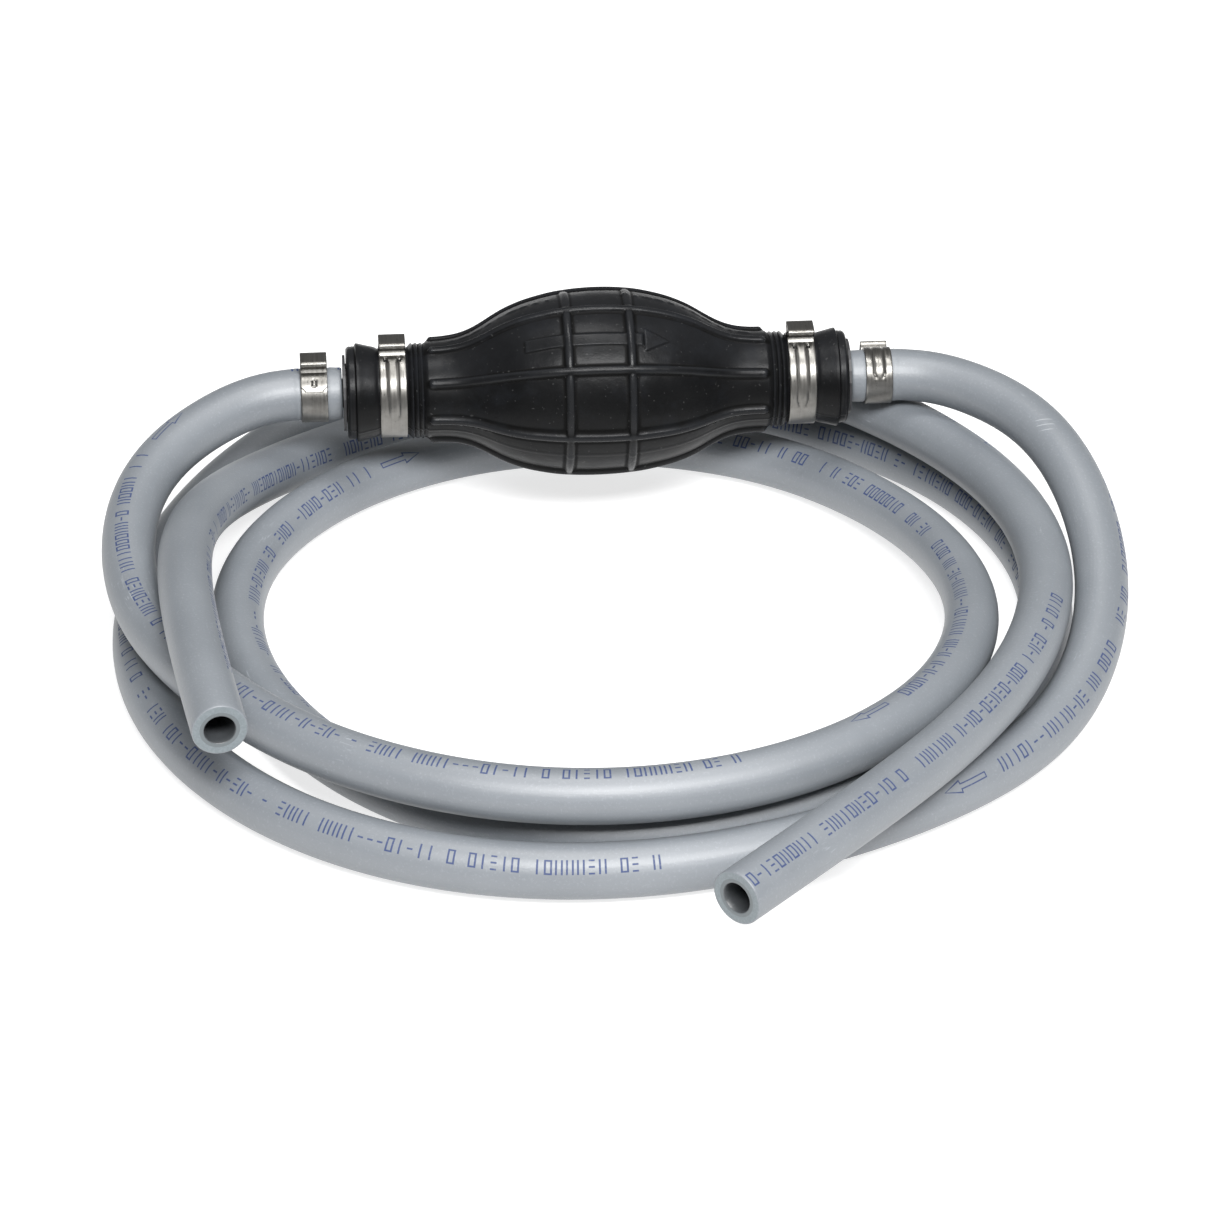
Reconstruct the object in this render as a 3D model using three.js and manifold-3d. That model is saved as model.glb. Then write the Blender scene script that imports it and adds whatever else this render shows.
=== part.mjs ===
// Marine fuel line: a squeeze primer bulb between two lengths of grey 5/16 in hose, with a ball check
// valve inside each end of the bulb and four stepless ear clamps. The hoses lie in loose loops.
// Millimetres. X runs along the bulb in the direction of flow, from tank to engine. Y points away from
// the front of the loops, Z is up, and the origin is on the table under the middle of the whole object.
import * as THREE from 'three';
import { NURBSCurve } from 'three/addons/curves/NURBSCurve.js';
import { mergeVertices } from 'three/addons/utils/BufferGeometryUtils.js';
import Module from 'manifold-3d';

const wasm = await Module();
wasm.setup();

// ---------------------------------------------------------------------------------------------
// Driving dimensions
// ---------------------------------------------------------------------------------------------

const HOSE_BORE = 7.94; // 5/16 in
const HOSE_OD = 14.3; // 9/16 in
const GAP = 0.3; // between pieces that touch

const AXIS_Y = 85; // the bulb's axis
const AXIS_Z = 37.2;

// Places along the bulb's axis, measured outwards from its middle
const HOSE_START = 70.5;
const BARB_END = 81;
const HOSE_STRAIGHT_END = 82;
const HOSE_CLAMP_AT = 78.2;
const BULB_CLAMP_AT = 56.5;
const OUTLET_EAR_TURN = THREE.MathUtils.degToRad(80); // from the top, towards the back
const BULB_HALF = 69.2;
const FITTING_START = 43.5;
const FLANGE_START = 69.5;
const FLANGE_END = 70.2;

// Check valve, measured along the flow from the upstream face of its cartridge
const VALVE_LENGTH = 22;
const INLET_VALVE_AT = -66.5; // place of the upstream face on the bulb's axis
const OUTLET_VALVE_AT = 44.5;
const CHAMBER_RADIUS = 7;
const CARTRIDGE_RADIUS = 6.7;
const BALL_RADIUS = 4.2;
const BALL_AT = 7.1;

const CLAMP_WIDTH = 7.4;
const BAND = 0.7; // thickness of the clamp's strip
const HOSE_CLAMP_RADIUS = HOSE_OD / 2 + GAP; // inner radii
const BULB_CLAMP_RADIUS = 12.3;

const HOSE_SIDES = 10;
const TURNED_SIDES = 20;
const BULB_SIDES = 28;

// Heights of a hose's middle: on the table, on one hose, on two hoses
const LOW = HOSE_OD / 2;
const MID = 22.1;
const HIGH = 37;

// The hoses' routes, from the end of the straight stretch on the barb to the free end. Each is the
// control polygon of a cubic B-spline.
const TANK_ROUTE = [
  [-82, AXIS_Y, AXIS_Z], [-92, AXIS_Y, AXIS_Z], [-107, 76, 35.5], [-123, 58, 32], [-131, 31, 27.5],
  [-128, -8, 23], [-107, -47, MID], [-78, -79, MID], [-39, -99, MID], [3, -103, MID],
  [44, -91, MID], [77, -64, MID], [94, -24, 20], [94, 20, 14], [80, 61, 9],
  [52, 94, LOW], [12, 109, LOW], [-31, 108, LOW], [-70, 88, LOW], [-97, 53, LOW],
  [-104, 11, LOW], [-94, -31, LOW], [-69, -69, LOW], [-34, -93, LOW], [5, -98, LOW],
  [46, -85, LOW], [84, -60, LOW], [110, -27, LOW], [119, 15, LOW], [111, 58, LOW],
  [88, 94, LOW], [53, 119, LOW], [11, 130, LOW], [-33, 128, LOW], [-71, 110, LOW],
  [-98, 78, 14], [-111, 39, 27], [-116, -2, HIGH - 0.5], [-112, -46, HIGH + 1.5], [-105.5, -87, HIGH],
];
const ENGINE_ROUTE = [
  [82, AXIS_Y, AXIS_Z], [92, AXIS_Y, AXIS_Z], [107, 75, 37], [122, 55, 35], [130, 25, 28],
  [130, -12, 17], [114, -51, LOW], [84, -80, LOW], [46, -101, LOW], [4, -113, LOW],
  [-39, -111, LOW], [-78, -94, LOW], [-108, -64, LOW], [-126, -25, LOW], [-129, 18, LOW],
  [-119, 62, LOW], [-97, 105, LOW], [-63, 137, 8], [-20, 151, 15], [22, 141, 22.5],
  [61, 112, MID], [91, 82, MID], [112, 44, MID], [117, 1, MID], [105, -43, MID],
  [80, -83, MID], [51, -114, MID], [18, -148, MID],
];
const TANK_STEPS = 80;
const ENGINE_STEPS = 56;

// ---------------------------------------------------------------------------------------------
// Materials
// ---------------------------------------------------------------------------------------------

function finish(color, roughness, metalness = 0) {
  return new THREE.MeshStandardMaterial({ color, roughness, metalness });
}

const HOSE_GREY = 0xa4a9af;
const BULB_BLACK = 0x17181a;
const FITTING_BLACK = 0x202123;
const STEEL = 0xc9c8c4;
const SEAL_BROWN = 0x4a3a30;
const BALL_WHITE = 0xe6e3da;

// ---------------------------------------------------------------------------------------------
// Geometry helpers
// ---------------------------------------------------------------------------------------------

function solidOf(geometry) {
  const bare = geometry.clone();
  bare.deleteAttribute('normal');
  bare.deleteAttribute('uv');
  const merged = mergeVertices(bare, 1e-4);
  return new wasm.Manifold(new wasm.Mesh({
    numProp: 3,
    vertProperties: merged.attributes.position.array,
    triVerts: new Uint32Array(merged.index.array),
  }));
}

function geometryOf(solid) {
  const mesh = solid.getMesh();
  const geometry = new THREE.BufferGeometry();
  geometry.setAttribute('position', new THREE.BufferAttribute(mesh.vertProperties, 3));
  geometry.setIndex(new THREE.BufferAttribute(mesh.triVerts, 1));
  geometry.computeVertexNormals();
  return geometry;
}

function circle(radius, sides) {
  const turn = (2 * Math.PI) / sides;
  return Array.from({ length: sides }, (_, i) => {
    const angle = (i + 0.5) * turn;
    return new THREE.Vector2(radius * Math.cos(angle), radius * Math.sin(angle));
  });
}

// A turned piece about the X axis. The profile is a closed loop of [place along X, radius].
function turned(profile, sides = TURNED_SIDES) {
  const loop = profile.map(([along, radius]) => new THREE.Vector2(radius, along));
  if (THREE.ShapeUtils.isClockWise(loop)) loop.reverse();
  const geometry = new THREE.LatheGeometry([...loop, loop[0]], sides);
  geometry.rotateZ(-Math.PI / 2);
  return geometry;
}

// The mirror image of a profile, for the other end of the bulb, in the opposite order.
function mirrored(profile) {
  return profile.map(([along, radius]) => [-along, radius]).reverse();
}

function rod(from, to, radius, sides = TURNED_SIDES) {
  return solidOf(turned([[from, 0], [to, 0], [to, radius], [from, radius]], sides));
}

// ---------------------------------------------------------------------------------------------
// Hoses
// ---------------------------------------------------------------------------------------------

// A hose's middle line: its first step is the straight stretch on the barb, the rest follows a spline.
class HoseRoute extends THREE.Curve {
  constructor(start, points, steps) {
    super();
    const degree = 3;
    const corners = points.map((p) => new THREE.Vector4(...p, 1));
    const spans = corners.length - degree;
    const inner = Array.from({ length: spans + 1 }, (_, i) => i / spans);
    const knots = [0, 0, 0, ...inner, 1, 1, 1];
    this.straight = new THREE.LineCurve3(start, new THREE.Vector3(...points[0]));
    this.loops = new NURBSCurve(degree, knots, corners);
    this.loops.arcLengthDivisions = 2000;
    this.steps = steps;
  }

  at(u, name) {
    const step = u * this.steps;
    if (step <= 1) return this.straight[name](step);
    return this.loops[name](Math.min(1, (step - 1) / (this.steps - 1)));
  }

  getPointAt(u) {
    return this.at(u, 'getPointAt');
  }

  getTangentAt(u) {
    return this.at(u, 'getTangentAt');
  }
}

function hose(side, points, steps) {
  const start = new THREE.Vector3(side * HOSE_START, AXIS_Y, AXIS_Z);
  const section = new THREE.Shape(circle(HOSE_OD / 2, HOSE_SIDES));
  section.holes.push(new THREE.Path(circle(HOSE_BORE / 2, HOSE_SIDES)));
  const tube = new THREE.ExtrudeGeometry(section, {
    steps,
    bevelEnabled: false,
    extrudePath: new HoseRoute(start, points, steps),
  });
  // The bore is stretched over the barb.
  const stretched = [
    [HOSE_START - 1, 0], [HOSE_STRAIGHT_END + 0.9, 0], [HOSE_STRAIGHT_END, HOSE_BORE / 2],
    [BARB_END - 2, 4.95], [HOSE_START - 1, 4.95],
  ];
  const cut = solidOf(turned(side < 0 ? mirrored(stretched) : stretched));
  return geometryOf(solidOf(tube).subtract(cut.translate([0, AXIS_Y, AXIS_Z])));
}

// ---------------------------------------------------------------------------------------------
// Primer bulb: one hollow rubber moulding
// ---------------------------------------------------------------------------------------------

function primerBulb() {
  const outside = [
    [BULB_HALF, 12.2], [68.8, 12.6], [67, 12.6], [66.6, 13.6], [64, 13.2], [61.2, 12.5], [60.9, 12],
    [52.1, 12], [51.8, 13.2], [47.8, 13.3], [47.4, 13.8], [44, 13.8], [38, 14.4], [33, 16.6],
    [26, 20.9], [20, 23.1], [12, 24.8],
  ];
  const inside = [
    [12, 21.7], [20, 20], [26, 17.8], [36, 11], [42, 9], [BULB_HALF, 9],
  ];
  return turned([
    ...outside, [0, 25.5], ...mirrored(outside), ...mirrored(inside), [0, 22.5], ...inside,
  ], BULB_SIDES);
}

// ---------------------------------------------------------------------------------------------
// Valve bodies: a ribbed spigot in the bulb's neck, a flange and a hose barb, bored right through
// ---------------------------------------------------------------------------------------------

function fittingOutside() {
  const spigot = [[FITTING_START, 8.1], [46, 8.7]];
  for (let at = 46; at < 64; at += 6) {
    spigot.push([at + 0.4, 8.2], [at + 5.6, 8.7]);
  }
  const barb = [];
  for (let at = FLANGE_END + 1.4; at < BARB_END - 1; at += 3) {
    barb.push([at, 3.9], [at + 0.1, 4.6]);
  }
  return [
    ...spigot, [FLANGE_START - GAP, 8.2], [FLANGE_START, 8.2], [FLANGE_START, 10.6],
    [FLANGE_END, 10.6], [FLANGE_END, 4.1], ...barb, [BARB_END, 3.5],
  ];
}

function fitting(side, chamberEnd) {
  const outline = [[FITTING_START, 2.6], ...fittingOutside(), [BARB_END, 2.6]];
  const body = solidOf(turned(side < 0 ? mirrored(outline) : outline));
  const chamber = rod(Math.min(side * (FITTING_START - 1), chamberEnd),
    Math.max(side * (FITTING_START - 1), chamberEnd), CHAMBER_RADIUS);
  return geometryOf(body.subtract(chamber));
}

// ---------------------------------------------------------------------------------------------
// Check valve cartridge, in its own frame: X along the flow from the upstream face
// ---------------------------------------------------------------------------------------------

const SEAT_LENGTH = 5;
const SEAT_HOLE = 2.9;
const POCKET_RADIUS = 5.4; // the room for the seat ring and the ball
const END_WALL = 2;

function valveSeat() {
  return turned([
    [0, CARTRIDGE_RADIUS], [0, SEAT_HOLE], [3, SEAT_HOLE], [3, POCKET_RADIUS],
    [SEAT_LENGTH, POCKET_RADIUS], [SEAT_LENGTH, CARTRIDGE_RADIUS], [2.8, CARTRIDGE_RADIUS],
    [2.8, 5.3], [1, 5.3], [1, CARTRIDGE_RADIUS],
  ]);
}

function ring(at, radius, thickness) {
  const geometry = new THREE.TorusGeometry(radius, thickness / 2, 6, 18);
  geometry.rotateY(Math.PI / 2);
  geometry.translate(at, 0, 0);
  return geometry;
}

function cage() {
  const from = SEAT_LENGTH + GAP;
  const wall = VALVE_LENGTH - END_WALL;
  let body = solidOf(turned([
    [from, CARTRIDGE_RADIUS], [from, POCKET_RADIUS], [wall, POCKET_RADIUS], [wall, 1.1],
    [VALVE_LENGTH, 1.1], [VALVE_LENGTH, CARTRIDGE_RADIUS],
  ]));
  const ports = 4;
  for (let i = 0; i < ports; i += 1) {
    const port = new THREE.CylinderGeometry(1.25, 1.25, 2 * END_WALL, 12);
    port.rotateZ(Math.PI / 2);
    port.translate(VALVE_LENGTH - 1, 0, 3.5);
    port.rotateX((i * 2 * Math.PI) / ports);
    body = body.subtract(solidOf(port));
  }
  return geometryOf(body);
}

class Helix extends THREE.Curve {
  constructor(from, to, radius, turns) {
    super();
    Object.assign(this, { from, to, radius, turns });
  }

  getPoint(t) {
    const angle = t * this.turns * 2 * Math.PI;
    const along = this.from + (this.to - this.from) * t;
    return new THREE.Vector3(along, this.radius * Math.cos(angle), this.radius * Math.sin(angle));
  }
}

function spring() {
  const turns = 5;
  const wire = new THREE.Shape(circle(0.35, 5));
  return new THREE.ExtrudeGeometry(wire, {
    steps: turns * 9,
    bevelEnabled: false,
    extrudePath: new Helix(BALL_AT + 3.9, VALVE_LENGTH - END_WALL - 0.7, 2.8, turns),
  });
}

// ---------------------------------------------------------------------------------------------
// Stepless ear clamp: one closed strip with a pinched ear, made about X with the ear upwards
// ---------------------------------------------------------------------------------------------

function clamp(innerRadius) {
  const outer = innerRadius + BAND;
  const footHalf = 2.6;
  const footAngle = Math.asin(footHalf / outer);
  const waist = [1.9, outer + 1.2];
  const shoulder = [3.6, outer + 2.8];
  const top = [3.4, outer + 4];
  const strip = new THREE.Shape();
  const sides = 28;
  for (let i = 0; i <= sides; i += 1) {
    const angle = Math.PI / 2 + footAngle + ((2 * Math.PI - 2 * footAngle) * i) / sides;
    strip[i ? 'lineTo' : 'moveTo'](outer * Math.cos(angle), outer * Math.sin(angle));
  }
  for (const [y, z] of [waist, shoulder, top]) strip.lineTo(y, z);
  for (const [y, z] of [top, shoulder, waist]) strip.lineTo(-y, z);
  strip.holes.push(new THREE.Path(circle(innerRadius, 28)));
  const window = [
    [waist[0] - BAND, outer + 0.3], [waist[0] - BAND, waist[1] + 0.1],
    [shoulder[0] - BAND, shoulder[1] + 0.1], [top[0] - BAND, top[1] - BAND],
  ];
  const loop = [...window, ...[...window].reverse().map(([y, z]) => [-y, z])];
  strip.holes.push(new THREE.Path(loop.map(([y, z]) => new THREE.Vector2(y, z))));
  const geometry = new THREE.ExtrudeGeometry(strip, { depth: CLAMP_WIDTH, bevelEnabled: false });
  // The outline's plane becomes YZ and the strip's width runs along X.
  geometry.translate(0, 0, -CLAMP_WIDTH / 2);
  geometry.rotateX(Math.PI / 2);
  geometry.rotateZ(Math.PI / 2);
  return geometry;
}

// ---------------------------------------------------------------------------------------------
// Assembly
// ---------------------------------------------------------------------------------------------

const fuelLine = new THREE.Group();

function add(parent, name, geometry, material) {
  const mesh = new THREE.Mesh(geometry, material);
  mesh.name = name;
  parent.add(mesh);
  return mesh;
}

const bulbLine = new THREE.Group();
bulbLine.position.set(0, AXIS_Y, AXIS_Z);
fuelLine.add(bulbLine);

add(bulbLine, 'primer_bulb', primerBulb(), finish(BULB_BLACK, 0.45));

for (const [flow, side, valveAt] of [['inlet', -1, INLET_VALVE_AT], ['outlet', 1, OUTLET_VALVE_AT]]) {
  const chamberEnd = side < 0 ? valveAt - GAP : valveAt + VALVE_LENGTH + GAP;
  add(bulbLine, `${flow}_fitting`, fitting(side, chamberEnd), finish(FITTING_BLACK, 0.5));

  const valve = new THREE.Group();
  valve.position.x = valveAt;
  bulbLine.add(valve);
  add(valve, `${flow}_valve_seat`, valveSeat(), finish(FITTING_BLACK, 0.4));
  add(valve, `${flow}_cartridge_seal`, ring(1.9, 6.15, 1.1), finish(SEAL_BROWN, 0.6));
  add(valve, `${flow}_seat_ring`, ring(4.05, 4.3, 1.5), finish(SEAL_BROWN, 0.6));
  const ball = add(valve, `${flow}_valve_ball`, new THREE.SphereGeometry(BALL_RADIUS, 16, 10),
    finish(BALL_WHITE, 0.35));
  ball.position.x = BALL_AT;
  add(valve, `${flow}_valve_spring`, spring(), finish(STEEL, 0.3, 1));
  add(valve, `${flow}_valve_cage`, cage(), finish(FITTING_BLACK, 0.4));

  const bulbClamp = add(bulbLine, `${flow}_bulb_clamp`, clamp(BULB_CLAMP_RADIUS), finish(STEEL, 0.3, 1));
  bulbClamp.position.x = side * BULB_CLAMP_AT;
  const hoseClamp = add(bulbLine, `${flow}_hose_clamp`, clamp(HOSE_CLAMP_RADIUS), finish(STEEL, 0.3, 1));
  hoseClamp.position.x = side * HOSE_CLAMP_AT;
  hoseClamp.rotation.x = side < 0 ? 0 : -OUTLET_EAR_TURN;
}

add(fuelLine, 'tank_hose', hose(-1, TANK_ROUTE, TANK_STEPS), finish(HOSE_GREY, 0.5));
add(fuelLine, 'engine_hose', hose(1, ENGINE_ROUTE, ENGINE_STEPS), finish(HOSE_GREY, 0.5));

export default fuelLine;
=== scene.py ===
"""Marine fuel line: a squeeze primer bulb between two loosely looped grey hoses, in metres."""
import math

import bpy
import numpy as np
from mathutils import Matrix, Vector


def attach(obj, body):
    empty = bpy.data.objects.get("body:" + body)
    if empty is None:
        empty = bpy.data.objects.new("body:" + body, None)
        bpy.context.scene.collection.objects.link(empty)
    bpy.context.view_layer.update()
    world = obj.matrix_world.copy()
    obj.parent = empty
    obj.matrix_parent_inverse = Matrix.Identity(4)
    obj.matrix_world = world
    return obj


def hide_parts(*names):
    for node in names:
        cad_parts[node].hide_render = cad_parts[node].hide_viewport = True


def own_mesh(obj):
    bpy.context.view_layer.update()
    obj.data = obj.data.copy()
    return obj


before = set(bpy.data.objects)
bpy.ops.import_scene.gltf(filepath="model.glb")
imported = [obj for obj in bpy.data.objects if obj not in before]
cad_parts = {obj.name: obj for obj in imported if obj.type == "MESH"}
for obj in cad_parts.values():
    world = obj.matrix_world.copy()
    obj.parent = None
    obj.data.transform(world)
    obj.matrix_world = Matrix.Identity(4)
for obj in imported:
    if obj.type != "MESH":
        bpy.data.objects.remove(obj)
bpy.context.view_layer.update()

MM = 0.001
BODY = "fuel_line"

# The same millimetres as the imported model
AXIS_Y, AXIS_Z = 85.0, 37.2
HOSE_START, HOSE_STRAIGHT_END, BARB_END = 70.5, 82.0, 81.0
HOSE_CLAMP_AT, BULB_CLAMP_AT = 78.2, 56.5
HOSE_OD, HOSE_BORE, BARB_BORE = 14.3, 7.94, 9.9
BULB_HALF = 69.2
CLAMP_WIDTH, BAND = 7.4, 0.7
BULB_CLAMP_BORE, HOSE_CLAMP_BORE = 12.05, 7.12
# Heights of a hose's middle: on the floor, on one strand, and on two
LOW, MID, HIGH = 7.15, 22.1, 37.0

TANK_ROUTE = [
    (-82, AXIS_Y, AXIS_Z), (-92, AXIS_Y, AXIS_Z), (-107, 76, 35.5), (-123, 58, 32),
    (-131, 31, 27.5), (-128, -8, 23), (-107, -47, MID), (-78, -79, MID), (-39, -99, MID),
    (3, -103, MID), (44, -91, MID), (77, -64, MID), (94, -24, 20), (94, 20, 14), (80, 61, 9),
    (52, 94, LOW), (12, 109, LOW), (-31, 108, LOW), (-70, 88, LOW), (-97, 53, LOW),
    (-104, 11, LOW), (-94, -31, LOW), (-69, -69, LOW), (-34, -93, LOW), (5, -98, LOW),
    (46, -85, LOW), (84, -60, LOW), (110, -27, LOW), (119, 15, LOW), (111, 58, LOW),
    (88, 94, LOW), (53, 119, LOW), (11, 130, LOW), (-33, 128, LOW), (-71, 110, LOW),
    (-98, 78, 14), (-111, 39, 27), (-116, -2, HIGH - 0.5), (-112, -46, HIGH + 1.5),
    (-105.5, -87, HIGH),
]
ENGINE_ROUTE = [
    (82, AXIS_Y, AXIS_Z), (92, AXIS_Y, AXIS_Z), (107, 75, 37), (122, 55, 35), (130, 25, 28),
    (130, -12, 17), (114, -51, LOW), (84, -80, LOW), (46, -101, LOW), (4, -113, LOW),
    (-39, -111, LOW), (-78, -94, LOW), (-108, -64, LOW), (-126, -25, LOW), (-129, 18, LOW),
    (-119, 62, LOW), (-97, 105, LOW), (-63, 137, 8), (-20, 151, 15), (22, 141, 22.5),
    (61, 112, MID), (91, 82, MID), (112, 44, MID), (117, 1, MID), (105, -43, MID),
    (80, -83, MID), (51, -114, MID), (18, -148, MID),
]

# ---------------------------------------------------------------------------------------------
# Camera: 31 degrees above the table, turned 4 degrees about the upright
# ---------------------------------------------------------------------------------------------

CAMERA_TARGET = Vector((-1.1, 27.0, 0.0)) * MM
CAMERA_DISTANCE = 1.44
CAMERA_RISE, CAMERA_TURN = math.radians(31.0), math.radians(4.0)
CAMERA_LENS, CAMERA_SENSOR = 157.2, 36.0


def add_camera():
    """The camera, from its target back along the line of sight."""
    right = Vector((math.cos(CAMERA_TURN), -math.sin(CAMERA_TURN), 0.0))
    back = Vector((
        -math.sin(CAMERA_TURN) * math.cos(CAMERA_RISE),
        -math.cos(CAMERA_TURN) * math.cos(CAMERA_RISE),
        math.sin(CAMERA_RISE),
    ))
    up = back.cross(right)
    data = bpy.data.cameras.new("camera")
    data.lens, data.sensor_width = CAMERA_LENS, CAMERA_SENSOR
    data.clip_start, data.clip_end = 0.1, 20.0
    camera = bpy.data.objects.new("camera", data)
    bpy.context.scene.collection.objects.link(camera)
    turn = Matrix((right, up, back)).transposed().to_4x4()
    camera.matrix_world = Matrix.Translation(CAMERA_TARGET + CAMERA_DISTANCE * back) @ turn
    bpy.context.scene.camera = camera


add_camera()

# ---------------------------------------------------------------------------------------------
# Mesh helpers
# ---------------------------------------------------------------------------------------------


def smoothstep(low, high, value):
    t = np.clip((value - low) / (high - low), 0.0, 1.0)
    return t * t * (3.0 - 2.0 * t)


def box_mask(distance, half, soft):
    """1 nearer than half, 0 further, over an edge of width soft."""
    return 1.0 - smoothstep(half - soft / 2, half + soft / 2, np.abs(distance))


def grid_faces(rows, columns, wrap_rows):
    """Quads of a grid of vertices whose columns wrap round, and whose rows may."""
    row = np.arange(rows if wrap_rows else rows - 1)
    column = np.arange(columns)
    i, j = np.meshgrid(row, column, indexing="ij")
    below, beside = (i + 1) % rows, (j + 1) % columns
    corners = (i * columns + j, below * columns + j, below * columns + beside, i * columns + beside)
    return np.stack([c.ravel() for c in corners], axis=1)


def add_mesh(name, vertices, quads, material, attributes=None, other_faces=()):
    """A smooth mesh object from millimetres. quads is an array of corners, other_faces are longer."""
    mesh = bpy.data.meshes.new(name)
    vertices = np.asarray(vertices, dtype=float).reshape(-1, 3) * MM
    faces = [tuple(map(int, q)) for q in quads] + [tuple(map(int, f)) for f in other_faces]
    mesh.from_pydata([tuple(v) for v in vertices], [], faces)
    for key, values in (attributes or {}).items():
        values = np.asarray(values, dtype=float)
        flat = values.ndim == 1
        kind = "FLOAT" if flat else "FLOAT_VECTOR"
        layer = mesh.attributes.new(key, kind, "POINT")
        layer.data.foreach_set("value" if flat else "vector", values.ravel())
    mesh.shade_smooth()
    mesh.validate()
    mesh.update()
    mesh.materials.append(material)
    piece = bpy.data.objects.new(name, mesh)
    bpy.context.scene.collection.objects.link(piece)
    return piece


def add_piece(piece, slot, *nodes):
    """Makes a piece ride with the fuel line, in place of CAD nodes. slot is not used."""
    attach(piece, BODY)
    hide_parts(*nodes)


def sharpen(piece, degrees):
    """Marks the edges that turn by more than an angle, so that smooth shading stops there."""
    piece.data.set_sharp_from_angle(angle=math.radians(degrees))


# ---------------------------------------------------------------------------------------------
# Materials
# ---------------------------------------------------------------------------------------------


class Graph:
    """A material's nodes, made one call at a time. An input may be a value or another node's output."""

    def __init__(self, name):
        self.material = bpy.data.materials.new(name)
        self.material.use_nodes = True
        self.tree = self.material.node_tree
        self.shader = self.tree.nodes["Principled BSDF"]

    def put(self, socket, value):
        if isinstance(value, bpy.types.NodeSocket):
            self.tree.links.new(value, socket)
        elif isinstance(value, (tuple, list)) and len(value) == 3 and socket.type == "RGBA":
            socket.default_value = (*value, 1.0)
        else:
            socket.default_value = value

    def node(self, kind, settings, inputs):
        made = self.tree.nodes.new("ShaderNode" + kind)
        for key, value in settings.items():
            setattr(made, key, value)
        for key, value in inputs.items():
            self.put(made.inputs[key], value)
        return made

    def geometry(self, output):
        return self.node("NewGeometry", {}, {}).outputs[output]

    def attribute(self, name, output="Vector"):
        return self.node("Attribute", {"attribute_name": name}, {}).outputs[output]

    def maths(self, operation, *values):
        return self.node("Math", {"operation": operation}, dict(enumerate(values))).outputs[0]

    def stretch(self, vector, scale):
        return self.node("Mapping", {}, {"Vector": vector, "Scale": scale}).outputs[0]

    def noise(self, vector, scale, detail=3.0, rough=0.5):
        inputs = {"Vector": vector, "Scale": scale, "Detail": detail, "Roughness": rough}
        return self.node("TexNoise", {}, inputs).outputs["Fac"]

    def spread(self, value, low, high, to_low=0.0, to_high=1.0):
        inputs = {"Value": value, "From Min": low, "From Max": high, "To Min": to_low, "To Max": to_high}
        return self.node("MapRange", {"clamp": True}, inputs).outputs["Result"]

    def mix(self, factor, first, second):
        """A blend of two colours, which are the Mix node's inputs 6 and 7 and its output 2."""
        return self.node("Mix", {"data_type": "RGBA"}, {0: factor, 6: first, 7: second}).outputs[2]

    def split(self, vector):
        return self.node("SeparateXYZ", {}, {"Vector": vector}).outputs

    def bump(self, height, distance, strength=1.0, under=None):
        inputs = {"Height": height, "Distance": distance, "Strength": strength}
        if under is not None:
            inputs["Normal"] = under
        return self.node("Bump", {}, inputs).outputs[0]

    def finish(self, **sockets):
        """Sets the shader's sockets, such as base_color for Base Color, and gives the material."""
        for key, value in sockets.items():
            self.put(self.shader.inputs[key.replace("_", " ").title().replace("Ior", "IOR")], value)
        return self.material


# The print along a hose, in metres: marks in cells of one pitch, then an arrow, over and over
INK = (0.002, 0.020, 0.095)
PRINT_REPEAT, PRINT_PITCH = 0.310, 0.00255
PRINT_HALF_HEIGHT, STROKE, STROKE_EDGE = 0.0019, 0.00023, 0.00007
BOX_HALF_WIDTH, PAIR_HALF_GAP = 0.00072, 0.00068
PRINT_ARROW_LENGTH, PRINT_ARROW_SHAFT, PRINT_ARROW_OUTLINE = 0.0135, 0.00085, 0.00034
PRINT_ARROW_GAP = 0.005
# Far more than the cells of one repeat, so that no two repeats print alike
REPEAT_SEED_STEP = 977.0


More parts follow.
